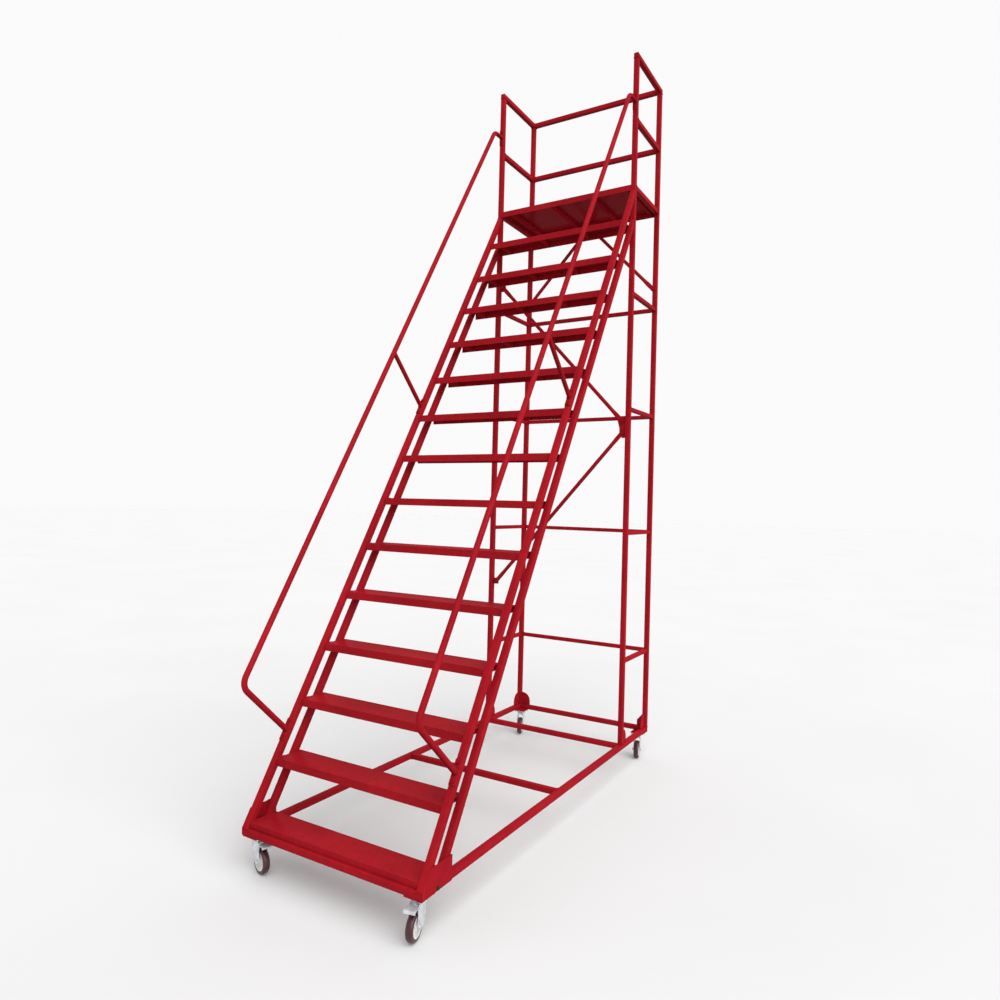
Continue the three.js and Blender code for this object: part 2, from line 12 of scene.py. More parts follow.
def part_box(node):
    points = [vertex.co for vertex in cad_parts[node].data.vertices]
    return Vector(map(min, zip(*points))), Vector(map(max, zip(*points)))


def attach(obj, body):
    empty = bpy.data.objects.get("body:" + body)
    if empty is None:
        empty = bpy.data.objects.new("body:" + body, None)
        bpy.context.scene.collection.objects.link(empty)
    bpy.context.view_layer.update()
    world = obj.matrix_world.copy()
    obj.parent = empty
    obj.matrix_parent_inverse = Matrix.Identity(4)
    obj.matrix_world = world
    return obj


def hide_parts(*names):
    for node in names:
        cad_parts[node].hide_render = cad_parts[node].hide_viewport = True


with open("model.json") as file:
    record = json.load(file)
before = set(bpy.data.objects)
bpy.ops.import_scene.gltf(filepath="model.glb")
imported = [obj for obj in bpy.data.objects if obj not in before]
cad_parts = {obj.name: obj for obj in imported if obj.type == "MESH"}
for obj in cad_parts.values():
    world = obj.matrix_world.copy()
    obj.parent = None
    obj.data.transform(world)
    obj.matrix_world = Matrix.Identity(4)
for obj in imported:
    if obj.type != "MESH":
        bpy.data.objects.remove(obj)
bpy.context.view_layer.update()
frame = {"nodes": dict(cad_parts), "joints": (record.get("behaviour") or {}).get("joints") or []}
random.seed(7)

MM = 0.001
WALL = 2 * MM  # wall of the square tubes
CORNER = 1.7 * MM  # outer corner radius of the square tubes
BEAD = 2.3 * MM  # radius of a weld bead
SMALL_BEAD = 1.9 * MM  # radius of the beads that hold the steps
SHARP_ANGLE = math.radians(34)  # edges sharper than this are rounded or left crisp


# ------------------------------------------------------------------ places read from the frame
def nose_of(step):
    """The front top edge of a step, on the middle line of the stand."""
    low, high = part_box(step)
    return Vector((0, low.y, high.z))


NOSE = nose_of("step_01")
UP_SLOPE = (nose_of("step_13") - NOSE).normalized()
OFF_SLOPE = Vector((0, -UP_SLOPE.z, UP_SLOPE.y))  # square to the slope, away from the stringers
POST_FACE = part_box("side_frame_right")[0].y
RAIL_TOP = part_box("base_rail_right")[1].z
BEAM_LOW, BEAM_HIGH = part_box("front_beam")
DECK_LOW, DECK_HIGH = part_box("platform_deck")
TUBE = BEAM_HIGH.z - BEAM_LOW.z
OUTER_X = BEAM_HIGH.x
INNER_X = OUTER_X - TUBE
SIDE_X = OUTER_X - TUBE / 2  # middle plane of the posts, stringers and base rails
SIDES = (("left", -1), ("right", 1))


def nose_y(z):
    """Where the line through the step noses lies at a height."""
    return NOSE.y + (z - NOSE.z) * UP_SLOPE.y / UP_SLOPE.z


def nose_z(y):
    """How high the line through the step noses is at a depth."""
    return NOSE.z + (y - NOSE.y) * UP_SLOPE.z / UP_SLOPE.y


# ------------------------------------------------------------------ node helpers
def new_material(name):
    material = bpy.data.materials.new(name)
    material.use_nodes = True
    tree = material.node_tree
    return material, tree, tree.nodes["Principled BSDF"]


def noise(tree, coords, scale, detail=4.0, roughness=0.55, stretch=None):
    node = tree.nodes.new("ShaderNodeTexNoise")
    node.inputs["Scale"].default_value = scale
    node.inputs["Detail"].default_value = detail
    node.inputs["Roughness"].default_value = roughness
    source = coords
    if stretch:
        mapping = tree.nodes.new("ShaderNodeMapping")
        mapping.inputs["Scale"].default_value = stretch
        tree.links.new(coords, mapping.inputs["Vector"])
        source = mapping.outputs["Vector"]
    tree.links.new(source, node.inputs["Vector"])
    return node.outputs["Fac"]


def grey_ramp(tree, factor, low, high):
    """Turns a factor into grey, from one (place, value) to the other."""
    node = tree.nodes.new("ShaderNodeValToRGB")
    for element, (place, value) in zip(node.color_ramp.elements, (low, high)):
        element.position = place
        element.color = (value, value, value, 1)
    tree.links.new(factor, node.inputs["Fac"])
    return node.outputs["Color"]


def mix(tree, factor, a, b, mode="MIX"):
    node = tree.nodes.new("ShaderNodeMix")
    node.data_type = "RGBA"
    node.blend_type = mode
    for socket, value in ((node.inputs["Factor"], factor), (node.inputs["A"], a), (node.inputs["B"], b)):
        if isinstance(value, bpy.types.NodeSocket):
            tree.links.new(value, socket)
        elif isinstance(value, (int, float)):
            socket.default_value = value
        else:
            socket.default_value = (*value, 1)
    return node.outputs["Result"]


def math_node(tree, operation, *values):
    node = tree.nodes.new("ShaderNodeMath")
    node.operation = operation
    for socket, value in zip(node.inputs, values):
        if isinstance(value, bpy.types.NodeSocket):
            tree.links.new(value, socket)
        else:
            socket.default_value = value
    return node.outputs["Value"]


def bump(tree, shader, height, distance, strength, under=None):
    node = tree.nodes.new("ShaderNodeBump")
    node.inputs["Strength"].default_value = strength
    node.inputs["Distance"].default_value = distance
    tree.links.new(height, node.inputs["Height"])
    if under:
        tree.links.new(under, node.inputs["Normal"])
    tree.links.new(node.outputs["Normal"], shader.inputs["Normal"])
    return node.outputs["Normal"]


def object_coords(tree):
    return tree.nodes.new("ShaderNodeTexCoord").outputs["Object"]


# ------------------------------------------------------------------ materials
PAINT_DEEP = (0.272, 0.0068, 0.0122)
PAINT_BRIGHT = (0.352, 0.0094, 0.0160)
SCUFFED_PAINT = (0.26, 0.022, 0.026)


def paint_material(name, deep=PAINT_DEEP, bright=PAINT_BRIGHT, scuffs=0.0):
    """Enamel over steel: orange peel, faint runs, a slow drift of tone, and painted shade on faces that look
    down. The gloss is the coat's alone.
    """
    material, tree, shader = new_material(name)
    coords = object_coords(tree)
    drift = noise(tree, coords, 3.0, 3.0)
    mottle = noise(tree, coords, 38.0, 5.0, 0.65)
    colour = mix(tree, grey_ramp(tree, drift, (0.3, 0), (0.7, 1)), deep, bright)
    colour = mix(tree, 1.0, colour, grey_ramp(tree, mottle, (0.35, 0.86), (0.65, 1.0)), "MULTIPLY")
    # painted shade: the colour is darkened to about half where a face looks down, standing in for the shade
    # under things
    normal_for_painted_shade = tree.nodes.new("ShaderNodeSeparateXYZ")
    tree.links.new(tree.nodes.new("ShaderNodeTexCoord").outputs["Normal"], normal_for_painted_shade.inputs["Vector"])
    height = math_node(tree, "MULTIPLY_ADD", normal_for_painted_shade.outputs["Z"], 0.5, 0.5)
    colour = mix(tree, 1.0, colour, grey_ramp(tree, height, (0.1, 0.52), (0.34, 1.0)), "MULTIPLY")
    rough = grey_ramp(tree, mottle, (0.3, 0.34), (0.72, 0.50))
    if scuffs:
        streaks = noise(tree, coords, 26.0, 6.0, 0.7, (1.0, 5.0, 5.0))
        marks = grey_ramp(tree, streaks, (0.52, 0), (0.74, scuffs))
        colour = mix(tree, marks, colour, SCUFFED_PAINT)
        rough = mix(tree, marks, rough, (0.62, 0.62, 0.62))
    tree.links.new(colour, shader.inputs["Base Color"])
    tree.links.new(rough, shader.inputs["Roughness"])
    shader.inputs["Specular IOR Level"].default_value = 0.0
    shader.inputs["Coat Weight"].default_value = 0.05
    shader.inputs["Coat Roughness"].default_value = 0.2
    peel = noise(tree, coords, 420.0, 2.0, 0.5)
    runs = noise(tree, coords, 60.0, 3.0, 0.5)
    first = bump(tree, shader, peel, 0.00025, 0.45)
    bump(tree, shader, runs, 0.0006, 0.3, first)
    return material


def zinc_material(name, tint, smooth=0.26, dull=0.46):
    """Zinc-plated pressed steel: a faint spangle, rolling streaks and duller patches."""
    material, tree, shader = new_material(name)
    coords = object_coords(tree)
    spangle = tree.nodes.new("ShaderNodeTexVoronoi")
    spangle.inputs["Scale"].default_value = 260.0
    tree.links.new(coords, spangle.inputs["Vector"])
    cells = grey_ramp(tree, spangle.outputs["Color"], (0.0, 0.86), (1.0, 1.0))
    patches = noise(tree, coords, 34.0, 5.0, 0.6)
    dull_tint = tuple(0.72 * channel for channel in tint)
    colour = mix(tree, grey_ramp(tree, patches, (0.38, 0), (0.68, 1)), dull_tint, tint)
    colour = mix(tree, 1.0, colour, cells, "MULTIPLY")
    tree.links.new(colour, shader.inputs["Base Color"])
    tree.links.new(grey_ramp(tree, patches, (0.3, dull), (0.7, smooth)), shader.inputs["Roughness"])
    shader.inputs["Metallic"].default_value = 0.6
    scratches = noise(tree, coords, 500.0, 3.0, 0.6, (1.0, 0.08, 1.0))
    bump(tree, shader, scratches, 0.00012, 0.5)
    return material


def tyre_material():
    """Dark red polyurethane with a waxy bloom, mould grain and specks of dust."""
    material, tree, shader = new_material("polyurethane_tyre")
    coords = object_coords(tree)
    bloom = noise(tree, coords, 30.0, 5.0, 0.6)
    dark, light, dust = (0.034, 0.0065, 0.0095), (0.078, 0.017, 0.023), (0.11, 0.07, 0.065)
    colour = mix(tree, grey_ramp(tree, bloom, (0.35, 0), (0.7, 1)), dark, light)
    specks = noise(tree, coords, 240.0, 4.0, 0.7)
    colour = mix(tree, grey_ramp(tree, specks, (0.60, 0), (0.74, 0.5)), colour, dust)
    tree.links.new(colour, shader.inputs["Base Color"])
    tree.links.new(grey_ramp(tree, bloom, (0.3, 0.28), (0.7, 0.5)), shader.inputs["Roughness"])
    shader.inputs["Subsurface Weight"].default_value = 0.08
    shader.inputs["Subsurface Scale"].default_value = 0.004
    bump(tree, shader, specks, 0.0003, 0.5)
    return material


def plastic_material(name, low, high, rough=0.42):
    """Moulded plastic with a fine grain and slight yellowing."""
    material, tree, shader = new_material(name)
    coords = object_coords(tree)
    patches = noise(tree, coords, 42.0, 4.0, 0.6)
    colour = mix(tree, grey_ramp(tree, patches, (0.35, 0), (0.68, 1)), low, high)
    tree.links.new(colour, shader.inputs["Base Color"])
    grain = noise(tree, coords, 900.0, 2.0)
    roughness = grey_ramp(tree, grain, (0.3, rough - 0.08), (0.7, rough + 0.08))
    tree.links.new(roughness, shader.inputs["Roughness"])
    bump(tree, shader, grain, 0.0001, 0.5)
    return material


PAINT = paint_material("red_enamel")
TREAD_PAINT = paint_material("red_enamel_tread", scuffs=0.30)
WELD_PAINT = paint_material("red_enamel_weld", (0.22, 0.0054, 0.0098), (0.31, 0.0080, 0.0140))
ZINC = zinc_material("zinc_plate", (0.80, 0.83, 0.86))
DARK_BOLT = zinc_material("dark_bolt", (0.105, 0.022, 0.026), 0.35, 0.55)
BRIGHT = zinc_material("bright_zinc_bolt", (0.78, 0.79, 0.80), 0.2, 0.34)
TYRE = tyre_material()
RIM = plastic_material("cream_nylon_rim", (0.60, 0.57, 0.54), (0.80, 0.79, 0.78))
BLACK_PLASTIC = plastic_material("black_plastic", (0.012, 0.012, 0.013), (0.035, 0.034, 0.036), 0.5)


# ------------------------------------------------------------------ mesh helpers
def in_metres(points):
    """Pairs given in millimetres."""
    return [(a * MM, b * MM) for a, b in points]


def make(name, bm, material, body="frame", bevel=0.0, segments=2):
    """Turns a bmesh into a piece that rides on a body."""
    bmesh.ops.recalc_face_normals(bm, faces=bm.faces)
    mesh = bpy.data.meshes.new(name)
    bm.to_mesh(mesh)
    bm.free()
    mesh.polygons.foreach_set("use_smooth", [True] * len(mesh.polygons))
    piece = bpy.data.objects.new(name, mesh)
    bpy.context.scene.collection.objects.link(piece)
    mesh.materials.append(material)
    if bevel:
        add_bevel(piece, bevel, segments)
    else:
        mesh.set_sharp_from_angle(angle=SHARP_ANGLE)
    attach(piece, body)
    return piece


def add_bevel(piece, width, segments=2):
    modifier = piece.modifiers.new("soft_edges", "BEVEL")
    modifier.width = width
    modifier.segments = segments
    modifier.limit_method = "ANGLE"
    modifier.angle_limit = SHARP_ANGLE
    modifier.harden_normals = True


def rounded_square(half, radius, steps=3):
    """Corner points of a rounded square, counter-clockwise."""
    points = []
    for quarter in range(4):
        middle = math.pi * (0.25 + quarter / 2)
        centre = Vector((math.cos(middle), math.sin(middle))) * (half - radius) * math.sqrt(2)
        for k in range(steps + 1):
            angle = math.pi / 2 * (quarter + k / steps)
            points.append(centre + Vector((math.cos(angle), math.sin(angle))) * radius)
    return points


def add_tube(bm, start, end, size, up=None):
    """A rounded square tube, open at both ends. up is the direction one of its flat sides faces."""
    start, end = Vector(start), Vector(end)
    line = (end - start).normalized()
    up = Vector(up) if up else (Vector((0, 0, 1)) if abs(line.z) < 0.9 else Vector((0, 1, 0)))
    across = up.cross(line).normalized()
    up = line.cross(across)
    rings = []
    for half, radius in ((size / 2, CORNER), (size / 2 - WALL, CORNER - WALL * 0.7)):
        section = rounded_square(half, radius)
        for place in (start, end):
            rings.append([bm.verts.new(place + across * p.x + up * p.y) for p in section])
    outer_start, outer_end, inner_start, inner_end = rings
    count = len(outer_start)
    for i in range(count):
        j = (i + 1) % count
        bm.faces.new((outer_start[i], outer_start[j], outer_end[j], outer_end[i]))
        bm.faces.new((inner_start[j], inner_start[i], inner_end[i], inner_end[j]))
        bm.faces.new((outer_start[j], outer_start[i], inner_start[i], inner_start[j]))
        bm.faces.new((outer_end[i], outer_end[j], inner_end[j], inner_end[i]))


def add_plate(bm, outline, normal, thickness, origin=(0, 0, 0), across=None):
    """A flat plate: outline points are (across, up) pairs in the plane square to normal."""
    normal = Vector(normal).normalized()
    across = Vector(across) if across else Vector((0, 0, 1)).cross(normal).normalized()
    up = normal.cross(across)
    origin = Vector(origin)
    low = [bm.verts.new(origin + across * a + up * b - normal * thickness / 2) for a, b in outline]
    high = [bm.verts.new(vert.co + normal * thickness) for vert in low]
    bm.faces.new(low)
    bm.faces.new(high)
    for i in range(len(low)):
        j = (i + 1) % len(low)
        bm.faces.new((low[i], low[j], high[j], high[i]))
    return low + high


def frame_of(axis):
    """Two unit vectors square to an axis and to each other."""
    axis = Vector(axis).normalized()
    side = axis.orthogonal().normalized()
    return axis, side, axis.cross(side)


def add_turned(bm, profile, centre, axis, sides=32, start=0.0):
    """A body turned about an axis. profile is a list of (distance along the axis, radius)."""
    axis, side, other = frame_of(axis)
    centre = Vector(centre)
    rings = []
    for along, radius in profile:
        if radius < 1e-7:
            rings.append([bm.verts.new(centre + axis * along)])
            continue
        rings.append([
            bm.verts.new(centre + axis * along + (side * math.cos(a) + other * math.sin(a)) * radius)
            for a in (start + 2 * math.pi * k / sides for k in range(sides))])
    for ring, following in zip(rings, rings[1:]):
        for k in range(sides):
            m = (k + 1) % sides
            corners = [ring[k % len(ring)], ring[m % len(ring)],
                       following[m % len(following)], following[k % len(following)]]
            distinct = list(dict.fromkeys(corners))
            if len(distinct) > 2:
                bm.faces.new(distinct)


def add_bolt(bm, place, direction, across_flats=15 * MM, head=6 * MM):
    """A hexagon bolt head with a chamfered crown, on a washer."""
    place, direction = Vector(place), Vector(direction).normalized()
    radius = across_flats / math.sqrt(3)
    base = 1.6 * MM
    add_turned(bm, [(0, 0), (0, radius * 1.28), (1.1 * MM, radius * 1.34), (base, radius * 1.28), (base, 0)],
               place, direction, 20)
    add_turned(bm, [(base, 0), (base, radius), (base + head * 0.85, radius), (base + head, radius * 0.84),
                    (base + head, radius * 0.55), (base + head * 0.9, radius * 0.48), (base + head * 0.9, 0)],
               place, direction, 6, random.random())


BEAD_SIDE = Vector((0.31, 0.52, 0.8))  # keeps a bead's rings in step; no weld runs this way


def add_bead(bm, points, closed=False, radius=BEAD, sides=6):
    """A weld bead along a line, with the ripples that the torch leaves."""
    points = [Vector(p) for p in points]
    if closed:
        points.append(points[0].copy())
    samples = []
    for a, b in zip(points, points[1:]):
        count = max(2, round((b - a).length / (3.2 * MM)))
        samples += [a.lerp(b, k / count) for k in range(count)]
    samples.append(points[-1])
    rings = []
    for i, place in enumerate(samples):
        ahead = samples[min(i + 1, len(samples) - 1)]
        behind = samples[max(i - 1, 0)]
        axis = (ahead - behind).normalized()
        end = 0.35 if not closed and i in (0, len(samples) - 1) else 1.0
        size = radius * end * (1.0 + 0.22 * (i % 2) + random.uniform(-0.12, 0.12))
        side = (BEAD_SIDE - axis * BEAD_SIDE.dot(axis)).normalized()
        other = axis.cross(side)
        rings.append([
            bm.verts.new(place + (side * math.cos(a) + other * math.sin(a)) * size)
            for a in (2 * math.pi * k / sides for k in range(sides))])
    for ring, following in zip(rings, rings[1:]):
        for k in range(sides):
            m = (k + 1) % sides
            bm.faces.new((ring[k], ring[m], following[m], following[k]))
    for ring in (rings[0], rings[-1]):
        bm.faces.new(ring)


def square_loop(centre, normal, up, size):
    """Corners of the loop where a square tube meets a flat face."""
    normal, up = Vector(normal), Vector(up)
    across = up.cross(normal)
    half = size / 2 + BEAD * 0.25
    corners = ((-1, -1), (1, -1), (1, 1), (-1, 1))
    return [Vector(centre) + across * a * half + up * b * half for a, b in corners]


# ------------------------------------------------------------------ CAD nodes that stay
def dress(node, material, bevel):
    """Gives a CAD node its paint, and softens its edges with modifiers only."""
    piece = frame["nodes"][node]
    mesh = piece.data
    if "custom_normal" in mesh.attributes:
        mesh.attributes.remove(mesh.attributes["custom_normal"])
    mesh.polygons.foreach_set("use_smooth", [True] * len(mesh.polygons))
    mesh.materials.clear()
    mesh.materials.append(material)
    weld = piece.modifiers.new("weld", "WELD")
    weld.merge_threshold = 1e-5
    add_bevel(piece, bevel)


for number in range(1, 15):
    dress(f"step_{number:02d}", TREAD_PAINT, 0.9 * MM)
dress("platform_deck", TREAD_PAINT, 0.9 * MM)
for side in ("left", "right"):
    dress(f"handrail_{side}", PAINT, 0.8 * MM)
    dress(f"knee_brace_{side}", PAINT, 0.6 * MM)
    dress(f"base_gusset_{side}", PAINT, 1.2 * MM)
for node in ("brace_upper", "brace_lower"):
    dress(node, PAINT, 0.6 * MM)
dress("brace_gusset", PAINT, 1.0 * MM)


# ------------------------------------------------------------------ square tubes of the frame
beads = bmesh.new()


def straight_tube(node):
    """Stands for a straight CAD tube: the same box, with rounded corners. Gives its ends and size."""
    low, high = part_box(node)
    size = high - low
    axis = max(range(3), key=lambda k: size[k])
    middle = (low + high) / 2
    start, end = middle.copy(), middle.copy()
    start[axis], end[axis] = low[axis], high[axis]
    bm = bmesh.new()
    add_tube(bm, start, end, sorted(size)[0])
    piece = make(f"tube_{node}", bm, PAINT)
    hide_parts(node)
    return start, end, sorted(size)[0]


def weld_ends(start, end, size):
    """Beads round both ends of a tube that lies level."""
    line = (end - start).normalized()
    up = Vector((0, 0, 1))
    for place in (start, end):
        add_bead(beads, square_loop(place, line, up, size), closed=True)


REAR_TIES = [f"rear_tie_{k}" for k in range(1, 5)]
for node in REAR_TIES + ["guard_mid_rear", "guard_top_rear", "guard_mid_left", "guard_mid_right",
                         "base_tie_front", "base_tie_tower", "base_tie_rear"]:
    weld_ends(*straight_tube(node))
straight_tube("front_beam")
end_caps = bmesh.new()


def cap_ends(start, end, size):
    """Plates that close the two mouths of a tube, just inside them."""
    line = (end - start).normalized()
    outline = [(p.x, p.y) for p in rounded_square(size / 2 - WALL * 0.6, 0.6 * MM, 2)]
    for place, inward in ((start, line), (end, -line)):
        add_plate(end_caps, outline, line, 1.4 * MM, place + inward * 1.0 * MM)


for node in ("guard_top_left", "guard_top_right"):
    cap_ends(*straight_tube(node))


WELD_DEPTH = 0.2 * MM  # how far a welded tube runs into its neighbour


def side_frame(side, sign):
    """Posts, side ties and platform edge tube of one side. Gives where its posts stand."""
    low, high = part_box(f"side_frame_{side}")
    x = sign * SIDE_X
    posts = (low.y + TUBE / 2, high.y - TUBE / 2)
    bm = bmesh.new()
    for y in posts:
        add_tube(bm, (x, y, low.z), (x, y, high.z), TUBE)
        for z in (low.z, high.z):
            add_bead(beads, square_loop((x, y, z), (0, 0, 1), (0, 1, 0), TUBE), closed=True)
    levels = [((a.z + b.z) / 2, b.z - a.z) for a, b in map(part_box, REAR_TIES)]
    levels.append((DECK_HIGH.z - TUBE / 2, TUBE))
    for z, size in levels:
        start = Vector((x, posts[0] + TUBE / 2 - WELD_DEPTH, z))
        end = Vector((x, posts[1] - TUBE / 2 + WELD_DEPTH, z))
        add_tube(bm, start, end, size)
        weld_ends(start, end, size)
    piece = make(f"ladder_frame_{side}", bm, PAINT)
    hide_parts(f"side_frame_{side}")
    return x, posts, low.z


PLATE = 5 * MM
FOOT_LENGTH, FOOT_HEIGHT = 72 * MM, 90 * MM
CLIPPED_FOOT = in_metres([(0, 0), (42, 0), (42, 38), (0, 87)])


def foot_outline(clipped):
    """Plate at a post's foot: flat along the post and the base, domed outside or with a sloping top."""
    if clipped:
        return CLIPPED_FOOT
    points = [(0, 0), (FOOT_LENGTH, 0)]
    curve = ((FOOT_LENGTH, FOOT_HEIGHT * 0.35), (FOOT_LENGTH * 0.9, FOOT_HEIGHT), (0, FOOT_HEIGHT))
    for k in range(9):
        t = k / 8
        points.append(tuple((1 - t) ** 2 * a + 2 * t * (1 - t) * b + t * t * c for a, b, c in zip(*curve)))
    return points


for side, sign in SIDES:
    x, (front_y, rear_y), foot_z = side_frame(side, sign)
    inward = Vector((-sign, 0, 0))
    plates = [
        (Vector((0, 1, 0)), Vector((x, front_y + TUBE / 2, foot_z)), False),
        (Vector((0, -1, 0)), Vector((x, rear_y - TUBE / 2, foot_z)), False),
        (inward, Vector((x - sign * TUBE / 2, rear_y, foot_z)), sign > 0),
    ]
    bm = bmesh.new()
    for direction, root, clipped in plates:
        outline = foot_outline(clipped)
        normal = direction.cross((0, 0, 1))
        add_plate(bm, outline, normal, PLATE, root, direction)
        reach = max(a for a, b in outline)
        height = max(b for a, b in outline)
        for offset in (-PLATE / 2, PLATE / 2):
            shift = normal * offset
            add_bead(beads, [root + shift, root + shift + direction * reach])
            add_bead(beads, [root + shift, root + shift + Vector((0, 0, height))])
    make(f"foot_plates_{side}", bm, PAINT, bevel=0.8 * MM)

# tabs on the left front post that take the cross braces
TAB = 42 * MM
TAB_CORNER = 6 * MM
TAB_OUTLINE = [(0, -TAB / 2), (TAB - TAB_CORNER, -TAB / 2), (TAB, -TAB / 2 + TAB_CORNER),
               (TAB, TAB / 2 - TAB_CORNER), (TAB - TAB_CORNER, TAB / 2), (0, TAB / 2)]
BRACE_BOLT = 22 * MM  # how far a brace's bolt lies from its end, in height
KNEE_BOLT = 20 * MM
BRACE_FACE = 2.6 * MM  # from a flattened end's middle to its front face
GUSSET_LOW, GUSSET_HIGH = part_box("brace_gusset")
bm = bmesh.new()
brace_bolts = bmesh.new()
for node in ("brace_upper", "brace_lower"):
    low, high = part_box(node)
    front = (low.y + high.y) / 2 - BRACE_FACE
    ends = (high.z - BRACE_BOLT, low.z + BRACE_BOLT)
    tab_z, bolt_z = ends if node == "brace_upper" else reversed(ends)
    add_plate(bm, TAB_OUTLINE, (0, -1, 0), PLATE, (-INNER_X, GUSSET_HIGH.y - PLATE / 2, tab_z), (1, 0, 0))
    for offset in (-TAB / 2, TAB / 2):
        add_bead(beads, [(-INNER_X, GUSSET_LOW.y, tab_z + offset * 0.9),
                         (-INNER_X + 2 * MM, GUSSET_LOW.y, tab_z)])
    add_bolt(brace_bolts, (-INNER_X + TAB * 0.6, front, tab_z), (0, -1, 0))
    add_bolt(brace_bolts, (INNER_X - 24 * MM, front, bolt_z), (0, -1, 0))
make("brace_tabs", bm, PAINT, bevel=0.7 * MM)
add_bead(beads, [(INNER_X, GUSSET_LOW.y, GUSSET_LOW.z), (INNER_X, GUSSET_LOW.y, GUSSET_HIGH.z)])
for node, sign in (("knee_brace_left", -1), ("knee_brace_right", 1)):
    low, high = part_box(node)
    front = (low.y + high.y) / 2 - BRACE_FACE
    inner, outer = (low.x, high.x) if sign > 0 else (high.x, low.x)
    add_bolt(brace_bolts, (inner + sign * KNEE_BOLT, front, high.z - KNEE_BOLT), (0, -1, 0))
    add_bolt(brace_bolts, (outer - sign * KNEE_BOLT, front, low.z + KNEE_BOLT), (0, -1, 0))
make("brace_bolts", brace_bolts, WELD_PAINT)


# ------------------------------------------------------------------ stringers
BACK_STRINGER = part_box("stringer_back_right")[0].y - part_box("stringer_front_right")[0].y


def stringer(side, sign, which):
    """A sloping tube cut level at the foot and upright against the post."""
    node = f"stringer_{which}_{side}"
    low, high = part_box(node)
    depth = 0 if which == "front" else BACK_STRINGER
    near = Vector((sign * SIDE_X, nose_y(low.z) + depth, low.z))
    middle = near - OFF_SLOPE * TUBE / 2
    bm = bmesh.new()
    # longer than the stringer at both ends, and then cut
    add_tube(bm, middle - UP_SLOPE * 0.2, middle + UP_SLOPE * 4.6, TUBE, OFF_SLOPE)
    for origin, normal in (((0, 0, low.z), (0, 0, -1)), ((0, high.y, 0), (0, 1, 0))):
        cut = bmesh.ops.bisect_plane(
            bm, geom=bm.verts[:] + bm.edges[:] + bm.faces[:], plane_co=origin, plane_no=normal,
            clear_outer=True)
        rim = [e for e in cut["geom_cut"] if isinstance(e, bmesh.types.BMEdge)]
        bmesh.ops.edgeloop_fill(bm, edges=rim)
    piece = make(f"rail_{node}", bm, PAINT)
    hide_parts(node)


for side, sign in SIDES:
    for which in ("front", "back"):
        stringer(side, sign, which)
make("weld_beads", beads, WELD_PAINT)

# ------------------------------------------------------------------ steps: welds along their ends
step_beads = bmesh.new()
for number in range(1, 15):
    low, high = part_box(f"step_{number:02d}")
    depth = high.y - low.y
    for x in (low.x, high.x):
        add_bead(step_beads, [(x, low.y + 3 * MM, low.z + 2 * MM), (x, low.y + 1 * MM, high.z - 2 * MM)],
                 radius=SMALL_BEAD)
        for a, b in ((0.04, 0.34), (0.60, 0.95)):
            add_bead(step_beads, [(x, low.y + depth * a, high.z), (x, low.y + depth * b, high.z)],
                     radius=SMALL_BEAD)
make("step_welds", step_beads, WELD_PAINT)
STITCH, STITCH_PITCH, STITCH_START = 45 * MM, 95 * MM, 40 * MM
deck_beads = bmesh.new()
for x in (DECK_LOW.x, DECK_HIGH.x):
    for k in range(5):
        start = DECK_LOW.y + STITCH_START + k * STITCH_PITCH
        add_bead(deck_beads, [(x, start, DECK_HIGH.z), (x, start + STITCH, DECK_HIGH.z)])
make("deck_welds", deck_beads, WELD_PAINT)

# ------------------------------------------------------------------ base
PAD = 90 * MM
PAD_THICKNESS = 5.7 * MM
SMALL_BOLT = (13 * MM, 5 * MM)  # across flats, and height of the head
for side, sign in SIDES:
    node = f"base_rail_{side}"
    low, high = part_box(node)
    x = sign * SIDE_X
    rail_z = high.z - TUBE / 2
    bm = bmesh.new()
    add_tube(bm, (x, BEAM_HIGH.y + 0.3 * MM, rail_z), (x, high.y, rail_z), TUBE)
    piece = make(f"tube_{node}", bm, PAINT)
    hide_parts(node)
    cap_ends(Vector((x, BEAM_HIGH.y + 2 * MM, rail_z)), Vector((x, high.y, rail_z)), TUBE)
    pads = bmesh.new()
    pad_x = sign * OUTER_X - (PAD if sign > 0 else 0)
    for y in (low.y, high.y - PAD):
        add_plate(pads, [(0, 0), (PAD, 0), (PAD, PAD), (0, PAD)], (0, 0, 1), PAD_THICKNESS,
                  (pad_x, y, low.z + PAD_THICKNESS / 2), (1, 0, 0))
    make(f"corner_pads_{side}", pads, PAINT, bevel=1.2 * MM)
    gusset_low, gusset_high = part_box(f"base_gusset_{side}")
    face = gusset_high.x if sign > 0 else gusset_low.x
    bm = bmesh.new()
    add_bolt(bm, (face, gusset_low.y + 101 * MM, gusset_low.z + 11 * MM), (sign, 0, 0), *SMALL_BOLT)
    make(f"gusset_bolt_{side}", bm, DARK_BOLT)

make("end_caps", end_caps, PAINT, bevel=0.3 * MM)

